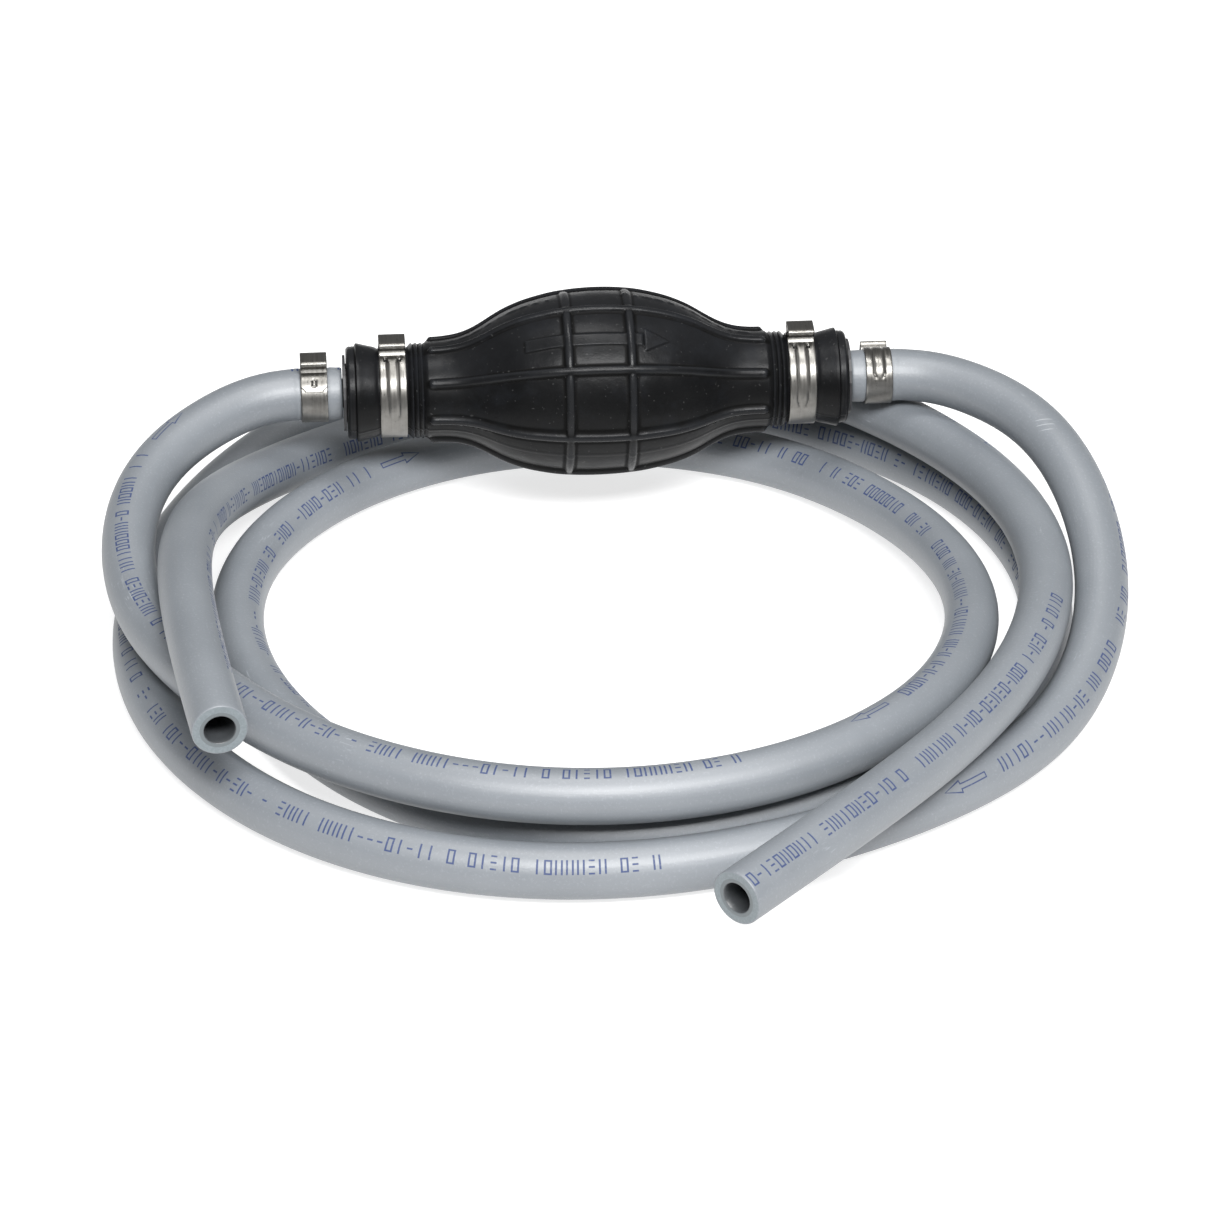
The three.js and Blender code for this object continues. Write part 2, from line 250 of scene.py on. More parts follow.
def ink_mask(g, arrow_at):
    """A line of generic marks along the hose: bars, boxes, rungs and dashes, then an outline arrow.

    arrow_at is the share of each repeat at which the arrow begins; the rest after it stays plain.
    """
    mark = g.split(g.attribute("mark"))
    across = g.maths("MULTIPLY", g.maths("ARCTAN2", mark[1], mark[0]), HOSE_OD / 2 * MM)
    v = g.maths("ABSOLUTE", across)
    u = g.maths("MULTIPLY", g.maths("FRACT", mark[2]), PRINT_REPEAT)

    def less(value, limit):
        return g.spread(g.maths("SUBTRACT", value, limit), -STROKE_EDGE, STROKE_EDGE, 1.0, 0.0)

    def both(first, *others):
        for other in others:
            first = g.maths("MULTIPLY", first, other)
        return first

    def either(first, *others):
        for other in others:
            first = g.maths("MAXIMUM", first, other)
        return first

    cells = g.maths("DIVIDE", u, PRINT_PITCH)
    repeat = g.maths("MULTIPLY", g.maths("FLOOR", mark[2]), REPEAT_SEED_STEP)
    index = g.maths("ADD", g.maths("FLOOR", cells), repeat)
    chance = g.node("TexWhiteNoise", {"noise_dimensions": "1D"}, {"W": index}).outputs["Value"]

    def chosen(low, high):
        return both(g.maths("GREATER_THAN", chance, low), g.maths("LESS_THAN", chance, high))

    from_middle = g.maths("SUBTRACT", g.maths("FRACT", cells), 0.5)
    x = g.maths("ABSOLUTE", g.maths("MULTIPLY", from_middle, PRINT_PITCH))
    tall = less(v, PRINT_HALF_HEIGHT)
    rim = PRINT_HALF_HEIGHT - STROKE
    bar = both(less(x, STROKE), tall)
    pair = both(less(g.maths("ABSOLUTE", g.maths("SUBTRACT", x, PAIR_HALF_GAP)), STROKE), tall)
    square = g.maths("MAXIMUM", g.maths("SUBTRACT", x, BOX_HALF_WIDTH), g.maths("SUBTRACT", v, rim))
    box = less(g.maths("ABSOLUTE", square), STROKE)
    middle = less(v, STROKE)
    rims = less(g.maths("ABSOLUTE", g.maths("SUBTRACT", v, rim)), STROKE)
    short = less(x, BOX_HALF_WIDTH)
    rungs = both(short, either(middle, rims))
    dash = both(short, middle)
    # Each cell's chance picks its mark, or leaves it empty
    marks = either(
        both(dash, chosen(0.16, 0.30)), both(bar, chosen(0.30, 0.48)), both(pair, chosen(0.48, 0.66)),
        both(box, chosen(0.66, 0.86)), both(rungs, chosen(0.86, 1.01)),
    )
    start = arrow_at * PRINT_REPEAT
    marks = both(marks, g.maths("LESS_THAN", u, start - PRINT_ARROW_GAP))
    # The arrow: a shaft and a head, less the same shapes drawn in by a stroke
    w = g.maths("SUBTRACT", u, start)
    neck = 0.6 * PRINT_ARROW_LENGTH

    def arrow_shape(inset):
        slanted = 1.3 * inset
        tip = PRINT_ARROW_LENGTH - slanted
        head = g.spread(w, neck, tip, PRINT_HALF_HEIGHT - slanted, 0.0)
        in_head = both(less(v, head), g.maths("GREATER_THAN", w, neck + inset))
        in_head = both(in_head, g.maths("LESS_THAN", w, tip))
        in_shaft = both(less(v, PRINT_ARROW_SHAFT - inset), g.maths("GREATER_THAN", w, inset))
        return either(in_head, both(in_shaft, g.maths("LESS_THAN", w, neck + 2.0 * inset)))

    outline = g.maths("SUBTRACT", arrow_shape(0.0), arrow_shape(PRINT_ARROW_OUTLINE))
    marks = either(marks, outline)
    # Broken up a little, as dots of ink are, and none inside the hose
    broken = g.spread(g.noise(g.geometry("Position"), 1300.0, 2.0, 0.7), 0.30, 0.46, 0.75, 1.0)
    return both(marks, broken, g.attribute("outer", "Fac"))


# A patch of scratches on the hose, in metres
SCRATCH_HALF_LENGTH, SCRATCH_HALF_WIDTH = 0.0036, 0.0026
SCRATCH_PITCH, SCRATCH_SLANT = 0.0022, 0.55


def scratch_mask(g, along, turn):
    """Short slanting scratches, this far along the hose and this many degrees from upright."""
    place, upright, level = g.split(g.attribute("lay"))
    u = g.maths("SUBTRACT", place, along)
    arc = g.maths("MULTIPLY", g.maths("ARCTAN2", level, upright), HOSE_OD / 2 * MM)
    v = g.maths("SUBTRACT", arc, math.radians(turn) * HOSE_OD / 2 * MM)
    near = g.maths("ADD", g.maths("POWER", g.maths("DIVIDE", u, SCRATCH_HALF_LENGTH), 2.0),
                   g.maths("POWER", g.maths("DIVIDE", v, SCRATCH_HALF_WIDTH), 2.0))
    across = g.maths("ADD", u, g.maths("MULTIPLY", v, SCRATCH_SLANT))
    wave = g.maths("SINE", g.maths("MULTIPLY", g.maths("DIVIDE", across, SCRATCH_PITCH), 2 * math.pi))
    return g.maths("MULTIPLY", g.spread(wave, 0.80, 0.97), g.spread(near, 0.5, 1.1, 1.0, 0.0))


# The layers on a hose's cut end: the liner's joint with the cover, and the edge of the dark bore
LINER_JOINT, BORE_EDGE = 5.10, 4.15


def hose_rubber(name, arrow_at, scratched=None):
    """Blue-grey rubber with its print. scratched is a patch's place along the hose and its turn."""
    g = Graph(name)
    lay = g.attribute("lay")
    at = g.geometry("Position")
    outer = g.attribute("outer", "Fac")
    # Mottled, faintly streaked along the hose, with pale specks
    clouds = g.noise(at, 28.0, 4.0, 0.55)
    streaks = g.noise(g.stretch(lay, (18.0, 700.0, 700.0)), 1.0, 3.0, 0.6)
    speckle = g.noise(at, 1500.0, 2.0, 0.6)
    colour = g.mix(g.spread(clouds, 0.3, 0.7), (0.136, 0.149, 0.164), (0.162, 0.176, 0.192))
    colour = g.mix(g.spread(streaks, 0.35, 0.75, 0.0, 0.22), colour, (0.13, 0.15, 0.175))
    colour = g.mix(g.spread(speckle, 0.56, 0.76, 0.0, 0.30), colour, (0.27, 0.29, 0.31))
    # Rubbed places, and fine scratches in them
    rubbed = g.spread(g.noise(at, 42.0, 5.0, 0.62), 0.60, 0.72)
    scratch = g.spread(g.noise(g.stretch(lay, (260.0, 1900.0, 1900.0)), 1.0, 2.0), 0.60, 0.68)
    scuff = g.maths("MULTIPLY", rubbed, scratch)
    colour = g.mix(g.maths("MULTIPLY", scuff, 0.45), colour, (0.40, 0.43, 0.46))
    if scratched:
        scratches = scratch_mask(g, *scratched)
        colour = g.mix(g.maths("MULTIPLY", scratches, 0.45), colour, (0.42, 0.44, 0.46))
    dirt = g.spread(g.noise(at, 95.0, 4.0, 0.7), 0.66, 0.76, 0.0, 0.30)
    colour = g.mix(dirt, colour, (0.11, 0.12, 0.13))
    # The cut face: cover and liner, then the dark bore
    parts = g.split(lay)
    squares = [g.maths("POWER", part, 2.0) for part in parts[1:3]]
    radius = g.maths("SQRT", g.maths("ADD", *squares))
    face = g.mix(g.spread(speckle, 0.4, 0.7), (0.110, 0.135, 0.148), (0.145, 0.172, 0.186))
    cover = g.spread(radius, (LINER_JOINT - 0.05) * MM, (LINER_JOINT + 0.05) * MM)
    face = g.mix(cover, (0.078, 0.094, 0.102), face)
    wall = g.spread(radius, (BORE_EDGE - 0.1) * MM, (BORE_EDGE + 0.1) * MM)
    face = g.mix(wall, (0.040, 0.044, 0.048), face)
    colour = g.mix(outer, face, colour)
    ink = ink_mask(g, arrow_at)
    colour = g.mix(ink, colour, INK)
    rough = g.spread(clouds, 0.25, 0.75, 0.45, 0.53)
    rough = g.maths("ADD", rough, g.maths("MULTIPLY", scuff, 0.20))
    rough = g.maths("ADD", rough, g.maths("MULTIPLY", ink, 0.22))
    relief = g.bump(streaks, 0.00006, 0.8)
    relief = g.bump(speckle, 0.00005, 0.8, relief)
    relief = g.bump(g.maths("MULTIPLY", scuff, -1.0), 0.00004, 0.8, relief)
    return g.finish(base_color=colour, roughness=rough, normal=relief, specular_ior_level=1.0)


def bulb_rubber():
    """Black moulded rubber: rubbed paler on its crests, with a painted highlight there too, painted shade
    in its creases, dust and painted light from above on what faces up, and specks of dust.
    """
    g = Graph("bulb_rubber")
    at = g.geometry("Position")
    clouds = g.noise(at, 55.0, 4.0, 0.6)
    grain = g.noise(at, 2300.0, 2.0, 0.6)
    dust = g.spread(g.noise(at, 1150.0, 1.0), 0.735, 0.76)
    shape = g.attribute("crest", "Fac")
    crest, crease_shade = g.spread(shape, 0.1, 0.9), g.spread(shape, -0.12, -0.7)
    # A thin haze of dust on what faces up, and painted light from above on the same faces
    upward = g.spread(g.split(g.geometry("Normal"))[2], 0.25, 0.85)
    dust_and_top_light = g.maths("MULTIPLY", upward, g.spread(clouds, 0.25, 0.65, 0.35, 0.85))
    colour = g.mix(g.spread(clouds, 0.3, 0.7), (0.0020, 0.0021, 0.0023), (0.0042, 0.0043, 0.0046))
    colour = g.mix(dust_and_top_light, colour, (0.0100, 0.0105, 0.0118))
    # Crests paler: rubbed wear, and a painted highlight. Creases darker: painted shade
    colour = g.mix(g.maths("MULTIPLY", crest, 0.50), colour, (0.020, 0.021, 0.023))
    colour = g.mix(crease_shade, colour, (0.0008, 0.0008, 0.0008))
    colour = g.mix(g.maths("MULTIPLY", dust, 0.30), colour, (0.09, 0.09, 0.09))
    bloom = g.spread(g.noise(at, 120.0, 5.0, 0.65), 0.50, 0.75, 0.0, 0.30)
    colour = g.mix(bloom, colour, (0.012, 0.014, 0.018))
    rough = g.spread(clouds, 0.25, 0.75, 0.30, 0.39)
    rough = g.maths("ADD", rough, g.maths("MULTIPLY", bloom, 0.30))
    rough = g.maths("SUBTRACT", rough, g.maths("MULTIPLY", crest, 0.10))
    rough = g.maths("ADD", rough, g.maths("MULTIPLY", crease_shade, 0.35))
    relief = g.bump(grain, 0.000035, 0.8)
    relief = g.bump(g.noise(at, 420.0, 3.0), 0.00009, 0.6, relief)
    relief = g.bump(g.noise(at, 110.0, 2.0), 0.00040, 0.7, relief)
    return g.finish(base_color=colour, roughness=rough, normal=relief, specular_ior_level=0.13)


def clamp_steel():
    """Stainless strip: brushed along its length, stained and nicked, with painted shade where it is
    pressed in.
    """
    g = Graph("clamp_steel")
    lay = g.attribute("lay")
    at = g.geometry("Position")
    brushed = g.noise(g.stretch(lay, (60.0, 3200.0, 60.0)), 1.0, 4.0, 0.65)
    stains = g.noise(at, 240.0, 4.0, 0.6)
    nicks = g.spread(g.noise(g.stretch(lay, (500.0, 2600.0, 500.0)), 1.0, 2.0, 0.7), 0.66, 0.72)
    shade = g.attribute("shade", "Fac")
    colour = g.mix(g.spread(stains, 0.3, 0.75), (0.21, 0.205, 0.193), (0.13, 0.125, 0.115))
    colour = g.mix(g.spread(brushed, 0.35, 0.7, 0.0, 0.30), colour, (0.30, 0.293, 0.278))
    colour = g.mix(g.maths("MULTIPLY", nicks, 0.55), colour, (0.08, 0.077, 0.070))
    # Painted shade in the pressed windows and on the punched oval's rim
    colour = g.mix(shade, colour, (0.02, 0.02, 0.02))
    rough = g.spread(brushed, 0.3, 0.7, 0.27, 0.42)
    rough = g.maths("ADD", rough, g.spread(stains, 0.5, 0.8, 0.0, 0.15))
    relief = g.bump(brushed, 0.000012, 0.8)
    relief = g.bump(g.noise(at, 260.0, 2.0), 0.000015, 0.6, relief)
    relief = g.bump(g.maths("MULTIPLY", nicks, -1.0), 0.00003, 0.8, relief)
    return g.finish(base_color=colour, roughness=rough, normal=relief, metallic=1.0)


def plastic(name, dark, light, rough_low, rough_high):
    """Moulded plastic or seal rubber: mottled, with rubbed edges and a fine grain."""
    g = Graph(name)
    at = g.geometry("Position")
    clouds = g.noise(at, 160.0, 4.0, 0.6)
    grain = g.noise(at, 1800.0, 2.0, 0.6)
    # Pointiness is 0.5 on a flat, and more on an edge
    edge = g.spread(g.geometry("Pointiness"), 0.52, 0.62, 0.0, 0.4)
    colour = g.mix(g.spread(clouds, 0.3, 0.7), dark, light)
    colour = g.mix(edge, colour, tuple(min(1.0, 1.8 * c + 0.02) for c in light))
    rough = g.spread(clouds, 0.25, 0.75, rough_low, rough_high)
    relief = g.bump(grain, 0.00003, 0.7)
    return g.finish(base_color=colour, roughness=rough, normal=relief)


def spring_steel():
    """Drawn stainless wire."""
    g = Graph("spring_steel")
    at = g.geometry("Position")
    drawn = g.noise(at, 1400.0, 3.0, 0.6)
    colour = g.mix(g.spread(drawn, 0.3, 0.7), (0.46, 0.45, 0.43), (0.62, 0.61, 0.59))
    rough = g.spread(drawn, 0.3, 0.7, 0.22, 0.38)
    return g.finish(base_color=colour, roughness=rough, normal=g.bump(drawn, 0.00002, 0.8), metallic=1.0)


TANK_RUBBER = hose_rubber("tank_hose_rubber", arrow_at=0.85)
ENGINE_RUBBER = hose_rubber("engine_hose_rubber", arrow_at=0.715, scratched=(0.067, 20.0))
BULB_RUBBER = bulb_rubber()
CLAMP_STEEL = clamp_steel()
FITTING_PLASTIC = plastic("fitting_plastic", (0.010, 0.010, 0.011), (0.022, 0.022, 0.024), 0.42, 0.56)
VALVE_PLASTIC = plastic("valve_plastic", (0.020, 0.021, 0.023), (0.040, 0.041, 0.044), 0.38, 0.52)
SEAL_RUBBER = plastic("seal_rubber", (0.060, 0.036, 0.022), (0.100, 0.064, 0.042), 0.50, 0.66)
BALL_PLASTIC = plastic("ball_plastic", (0.66, 0.64, 0.58), (0.78, 0.76, 0.71), 0.28, 0.40)
SPRING_STEEL = spring_steel()

# ---------------------------------------------------------------------------------------------
# Hoses
# ---------------------------------------------------------------------------------------------


def basis(knots, degree, count, u):
    """The values of each of a spline's basis functions at u."""
    spans = [(knots[i] <= u) & (u < knots[i + 1]) for i in range(len(knots) - 1)]
    values = [s.astype(float) for s in spans]
    for d in range(1, degree + 1):
        raised = []
        for i in range(len(values) - 1):
            left, right = knots[i + d] - knots[i], knots[i + d + 1] - knots[i + 1]
            a = (u - knots[i]) / left * values[i] if left else 0.0
            b = (knots[i + d + 1] - u) / right * values[i + 1] if right else 0.0
            raised.append(a + b)
        values = raised
    return np.stack(values[:count], axis=1)


def spline(points, samples):
    """Points along a clamped cubic B-spline through its control points."""
    degree, count = 3, len(points)
    spans = count - degree
    knots = [0.0] * degree + [i / spans for i in range(spans + 1)] + [1.0] * degree
    u = np.linspace(0.0, 1.0 - 1e-9, samples)
    return basis(knots, degree, count, u) @ np.array(points, dtype=float)


class Route:
    """A hose's middle line, with places along it and an upright frame at each."""

    def __init__(self, side, points):
        start = np.array([(side * HOSE_START, AXIS_Y, AXIS_Z)])
        self.fine = np.vstack([start, spline(points, 8000)])
        steps = np.linalg.norm(np.diff(self.fine, axis=0), axis=1)
        self.places = np.concatenate([[0.0], np.cumsum(steps)])
        self.length = self.places[-1]

    def at(self, place):
        return np.stack([np.interp(place, self.places, self.fine[:, k]) for k in range(3)], axis=-1)

    def frame(self, place):
        """Middle, tangent, the upright across it, and the level across it."""
        nudge = 0.4
        place = np.asarray(place, dtype=float)
        tangent = self.at(np.minimum(place + nudge, self.length)) - self.at(np.maximum(place - nudge, 0.0))
        tangent /= np.linalg.norm(tangent, axis=-1, keepdims=True)
        up = np.array([0.0, 0.0, 1.0]) - tangent * tangent[..., 2:3]
        up /= np.linalg.norm(up, axis=-1, keepdims=True)
        return self.at(place), tangent, up, np.cross(tangent, up)


HOSE_SIDES = 40
RING_STEP, FINE_STEP = 2.6, 0.45
# The clamp pinches the hose to a waist, and the rubber swells beside it
WAIST, SWELL, SWELL_OFF, SWELL_WIDTH = 0.12, 0.10, 4.7, 0.9


def hose_rings(length):
    """The outline of the hose's wall as rings: place, radius, and whether each is outside."""
    radius, bore, barb = HOSE_OD / 2, HOSE_BORE / 2, BARB_BORE / 2
    clamp = HOSE_CLAMP_AT - HOSE_START
    near = np.arange(0.9, 2 * clamp, FINE_STEP)
    places = np.arange(0.6, length - 0.6, RING_STEP)
    outside = np.union1d(places[places > near[-1] + 1.0], near)
    swell = SWELL * np.exp(-(((np.abs(outside - clamp) - SWELL_OFF) / SWELL_WIDTH) ** 2))
    waist = -WAIST * box_mask(outside - clamp, CLAMP_WIDTH / 2, 0.8)
    rings = [(0.0, radius - 0.45, 0), (0.05, radius - 0.22, 0), (0.3, radius - 0.04, 1)]
    rings += list(zip(outside, radius + swell + waist, np.ones(len(outside))))
    # The cut end: a rounded edge, and a face with shallow steps where its layers meet
    for back, at_radius in ((0.35, radius), (0.12, radius - 0.07), (0.02, radius - 0.22)):
        rings.append((length - back, at_radius, 1))
    for back, at_radius in (
        (0.0, radius - 0.40), (0.02, 6.2), (0.0, 5.95), (0.04, 5.7), (0.0, LINER_JOINT + 0.1),
        (0.06, LINER_JOINT - 0.05), (0.0, 4.7), (0.03, bore + 0.18), (0.22, bore),
    ):
        rings.append((length - back, at_radius, 0))
    # The bore, back to where the barb has widened it
    widen = HOSE_STRAIGHT_END - HOSE_START
    inside = np.arange(length - 2.0, widen + 1.5, -2 * RING_STEP)
    rings += [(p, bore, 0) for p in inside]
    rings += [(widen, bore + 0.02, 0), (BARB_END - 2 - HOSE_START, barb, 0)]
    rings += [(p, barb, 0) for p in (7.0, 4.5, 2.0, 0.4)]
    rings += [(0.0, barb + 0.25, 0), (0.0, 5.8, 0)]
    return np.array(rings)


def add_hose(name, side, points, material, print_from, print_turns):
    """A hose from the bulb's side along its route.

    print_from is where a repeat of the print begins, and its length, negative if it runs towards the
    bulb. print_turns gives where its line lies round the hose: (place, degrees from upright).
    """
    route = Route(side, points)
    rings = hose_rings(route.length)
    place, radius, outer = rings.T
    middle, _, up, level = route.frame(place)
    angle = 2 * math.pi * np.arange(HOSE_SIDES) / HOSE_SIDES
    cosine, sine = np.cos(angle), np.sin(angle)
    spoke = cosine[None, :, None] * up[:, None, :] + sine[None, :, None] * level[:, None, :]
    vertices = middle[:, None, :] + radius[:, None, None] * spoke
    turn = np.radians(np.interp(place, *np.array(print_turns, dtype=float).T))
    around = angle[None, :] - turn[:, None]
    shape = around.shape
    along = np.broadcast_to(place[:, None] * MM, shape)
    lay = np.stack([along, radius[:, None] * MM * cosine, radius[:, None] * MM * sine], axis=-1)
    start, repeat = print_from
    printed = np.broadcast_to(((place - start) / repeat)[:, None], shape)
    mark = np.stack([np.cos(around), np.sin(around), printed], axis=-1)
    attributes = {
        "lay": lay.reshape(-1, 3),
        "mark": mark.reshape(-1, 3),
        "outer": np.broadcast_to(outer[:, None], shape).ravel(),
    }
    quads = grid_faces(len(rings), HOSE_SIDES, True)
    piece = add_mesh(name + "_tube", vertices, quads, material, attributes)
    sharpen(piece, 50)
    add_piece(piece, "hose_rubber", name)


add_hose("tank_hose", -1, TANK_ROUTE, TANK_RUBBER, (321, -307), [
    (0, 20), (60, 14), (140, 12), (230, 11), (320, 0), (390, -8), (450, -33), (570, -30),
    (680, -37), (735, -48), (780, -38), (1130, -60), (1200, -66), (1370, -67), (1440, -76),
    (1570, -62),
])
add_hose("engine_hose", 1, ENGINE_ROUTE, ENGINE_RUBBER, (304, 316), [
    (0, -75), (127, -62), (150, -51), (190, -42), (220, -50), (304, -46), (330, -50), (360, -42),
    (430, -38), (470, -30), (500, -34), (700, -38), (940, -32), (1096, -29),
])

# ---------------------------------------------------------------------------------------------
# Primer bulb: one moulding with ribs, recessed panels and a raised flow arrow
# ---------------------------------------------------------------------------------------------

# Half of the outline: place from the middle, radius. Angles round the bulb start at the front and
# rise over the top.
BULB_OUTLINE = [
    (0, 25.0), (6, 24.8), (12, 24.2), (20, 22.4), (26, 20.1), (33, 15.9), (36, 14.6), (39, 13.8),
    (43, 13.5), (47.2, 13.45), (47.7, 12.85), (51.9, 12.75), (52.2, 12.0), (60.8, 12.0), (61.1, 12.4),
    (64, 13.1), (66.3, 13.7), (66.7, 13.6), (66.9, 12.6), (68.9, 12.5), (69.2, 12.1),
]
BULB_INSIDE = [
    (69.2, 9.3), (68.9, 9.0), (42, 9.0), (36, 11.0), (26, 17.8), (20, 20.0), (12, 21.7), (0, 22.5),
]
RIB_ANGLE, RIB_SPACING, RIBS = 35.0, 45.0, 8
RIB_HALF_LENGTH, RIB_HALF_WIDTH, RIB_HEIGHT = 46.7, 1.15, 1.25
RING_AT, RING_HALF_WIDTH, RING_HEIGHT = 8.6, 1.1, 1.0
# Two plain bands of the moulding have no recessed panels
TOP_BAND, LOWER_BAND, TOP_BAND_HALF = 102.5, 327.5, 19.0
PANEL_DEPTH, PANEL_EDGE, PANEL_MARGIN = 0.65, 0.22, 0.9
ARROW_ANGLE, ARROW_RISE, ARROW_EDGE = 55.5, 0.4, 0.2
ARROW_TAIL, ARROW_NECK, ARROW_TIP = -20.3, 12.1, 19.3
ARROW_SHAFT_HALF, ARROW_HEAD_HALF = 1.9, 3.7
PAD_ANGLE, PAD_PITCH, PAD_HEIGHT = 101.0, 3.3, 0.22
DOT_ANGLE, DOTS_FROM, DOT_PITCH, DOT_HEIGHT = -16.0, 30.5, 1.9, 0.25
NECK_RINGS, NECK_RING_HALF = ((48.5, 0.45), (49.9, 0.5), (51.2, 0.55)), 0.38
LIP_RIDGES, LIP_RIDGE_HALF, LIP_RIDGE_HEIGHT = (67.6, 68.5), 0.26, 0.42
PARTING_ANGLE, FLASH_HALF, FLASH_HEIGHT = -27.0, 0.26, 0.16
OUT_OF_ROUND = 0.10
# The bulb is bowed, as if by the weight of the hoses: its middle stands above the line of its ends
BOW, BOW_HALF = 1.2, 50.0


def outline_radius(outline, place):
    """The outline's radius at places: crisp on the neck, its corners well rounded over the belly."""
    xs, rs = np.array(outline, dtype=float).T

    def averaged(reach):
        offsets = np.linspace(-reach, reach, 33)
        weights = 1.0 - np.abs(offsets) / (reach * 1.06)
        sampled = [np.interp(np.abs(place + o), xs, rs) for o in offsets]
        return sum(w * s for w, s in zip(weights, sampled)) / weights.sum()

    neck = smoothstep(40.0, 45.0, np.abs(place))
    return neck * averaged(0.3) + (1.0 - neck) * averaged(4.5)


def round_ridge(distance, half_width, height):
    """A moulded ridge with a rounded crest and filleted feet."""
    t = np.clip(np.abs(distance) / (half_width * 1.3), 0.0, 1.0)
    return height * (0.5 + 0.5 * np.cos(math.pi * t ** 2.0))


def edge_step(distance, soft):
    """0 outside a shape and 1 inside, from how far inside its edge a place is."""
    return smoothstep(-soft, soft, distance)


def panel_mask(x, arc, radius, ring_distance):
    """1 in the recessed panels between the ribs."""
    mask = np.zeros_like(arc(0.0) + x)
    half = radius * math.radians(RIB_SPACING / 2) - RIB_HALF_WIDTH - PANEL_MARGIN
    for k in range(RIBS):
        middle = RIB_ANGLE + RIB_SPACING * (k + 0.5)
        if middle in (TOP_BAND, LOWER_BAND):
            continue
        panel = edge_step(half - np.abs(arc(middle)), PANEL_EDGE)
        panel *= edge_step(ring_distance - RING_HALF_WIDTH - 1.0, PANEL_EDGE)
        panel *= smoothstep(41.0, 27.0, np.abs(x))
        mask += panel
    return mask


def arrow_mask(x, arc):
    """1 on the flow arrow."""
    v = np.abs(arc(ARROW_ANGLE))
    shaft = edge_step(ARROW_SHAFT_HALF - v, ARROW_EDGE) * edge_step(x - ARROW_TAIL, ARROW_EDGE)
    shaft *= edge_step(ARROW_NECK - x, ARROW_EDGE)
    slope = ARROW_HEAD_HALF / (ARROW_TIP - ARROW_NECK)
    inside_head = (slope * (ARROW_TIP - x) - v) * math.cos(math.atan(slope))
    head = edge_step(inside_head, ARROW_EDGE) * edge_step(x - ARROW_NECK, ARROW_EDGE)
    return np.maximum(shaft, head)


def pads_and_dots(x, arc):
    """Small raised pads along the top band, and dots under the ends of the lower rib."""
    relief = 0.0
    for centre, count, first in ((-25.0, 9, 0), (26.0, 11, 5)):
        for i in range(count):
            width = 0.45 + 0.35 * ((3 * i + first) % 4)
            place = centre + (i - count / 2) * PAD_PITCH
            relief += PAD_HEIGHT * box_mask(x - place, width, 0.5) * box_mask(arc(PAD_ANGLE), 0.8, 0.6)
    for side in (-1, 1):
        for i in range(5):
            dot = np.hypot(x - side * (DOTS_FROM + DOT_PITCH * i), arc(DOT_ANGLE))
            relief += DOT_HEIGHT * smoothstep(0.75, 0.25, dot)
    return relief


def bulb_relief(x, angle, radius):
    """How far the moulded detail stands proud of the outline, at places and angles in degrees."""
    def arc(from_angle):
        turn = (angle - from_angle + 180.0) % 360.0 - 180.0
        return radius * np.radians(turn)

    ring_distance = np.abs(np.abs(x) - RING_AT)
    past_end = np.maximum(np.abs(x) - (RIB_HALF_LENGTH - RIB_HALF_WIDTH), 0.0)
    rib_angles = [RIB_ANGLE + RIB_SPACING * k for k in range(RIBS)]
    rib_distance = np.min([np.hypot(past_end, arc(a)) for a in rib_angles], axis=0)
    relief = -PANEL_DEPTH * panel_mask(x, arc, radius, ring_distance)
    relief = np.maximum(relief, -PANEL_DEPTH + (PANEL_DEPTH + ARROW_RISE) * arrow_mask(x, arc))
    # Ring ribs, lower across the top band, and long ribs
    top_band = box_mask(arc(TOP_BAND), radius * math.radians(TOP_BAND_HALF), 1.5)
    ring = round_ridge(ring_distance, RING_HALF_WIDTH, RING_HEIGHT) * (1.0 - 0.5 * top_band)
    relief = np.maximum(relief, ring)
    relief = np.maximum(relief, round_ridge(rib_distance, RIB_HALF_WIDTH, RIB_HEIGHT))
    relief += pads_and_dots(x, arc)
    # Thin rings on the neck, ridges on the lip, and the flash along the parting line
    for place, height in NECK_RINGS:
        relief += round_ridge(np.abs(x) - place, NECK_RING_HALF, height)
    for place in LIP_RIDGES:
        relief += round_ridge(np.abs(x) - place, LIP_RIDGE_HALF, LIP_RIDGE_HEIGHT)
    has_flash = (np.abs(x) < LIP_RIDGES[-1]) & (rib_distance > 1.4)
    for turn in (PARTING_ANGLE, PARTING_ANGLE + 180.0):
        relief += np.where(has_flash, round_ridge(arc(turn), FLASH_HALF, FLASH_HEIGHT), 0.0)
    # The rubber is never quite round
    lobes = np.sin(3 * np.radians(angle) + 0.11 * x)
    relief += OUT_OF_ROUND * lobes * smoothstep(52.0, 40.0, np.abs(x))
    return relief


def spaced(stops, steps):
    """Places from stop to stop, spaced by each stretch's own step."""
    parts = [np.arange(int(round((b - a) / step))) / round((b - a) / step) * (b - a) + a
             for a, b, step in zip(stops, stops[1:], steps)]
    return np.append(np.concatenate(parts), stops[-1])


CREST_REACH, CREST_FULL = 3, 0.30


def crests(relief):
    """How far each vertex stands above its neighbours, -1 in a crease to 1 on a crest."""
    reach, window = CREST_REACH, 2 * CREST_REACH + 1
    around = sum(np.roll(relief, k, axis=1) for k in range(-reach, reach + 1)) / window
    padded = np.pad(around, ((reach, reach), (0, 0)), mode="edge")
    smooth = sum(padded[k:k + len(relief)] for k in range(window)) / window
    return np.clip((relief - smooth) / CREST_FULL, -1.0, 1.0)


# Where the mesh's spacing changes, and its spacings: along half of the bulb, then round it in degrees
BULB_STOPS, BULB_STEPS = (0.0, 22.0, 43.0, BULB_HALF), (0.38, 0.80, 0.45)
ROUND_STOPS, ROUND_STEPS = (-5.0, 30.0, 84.0, 355.0), (1.35, 0.66, 1.35)


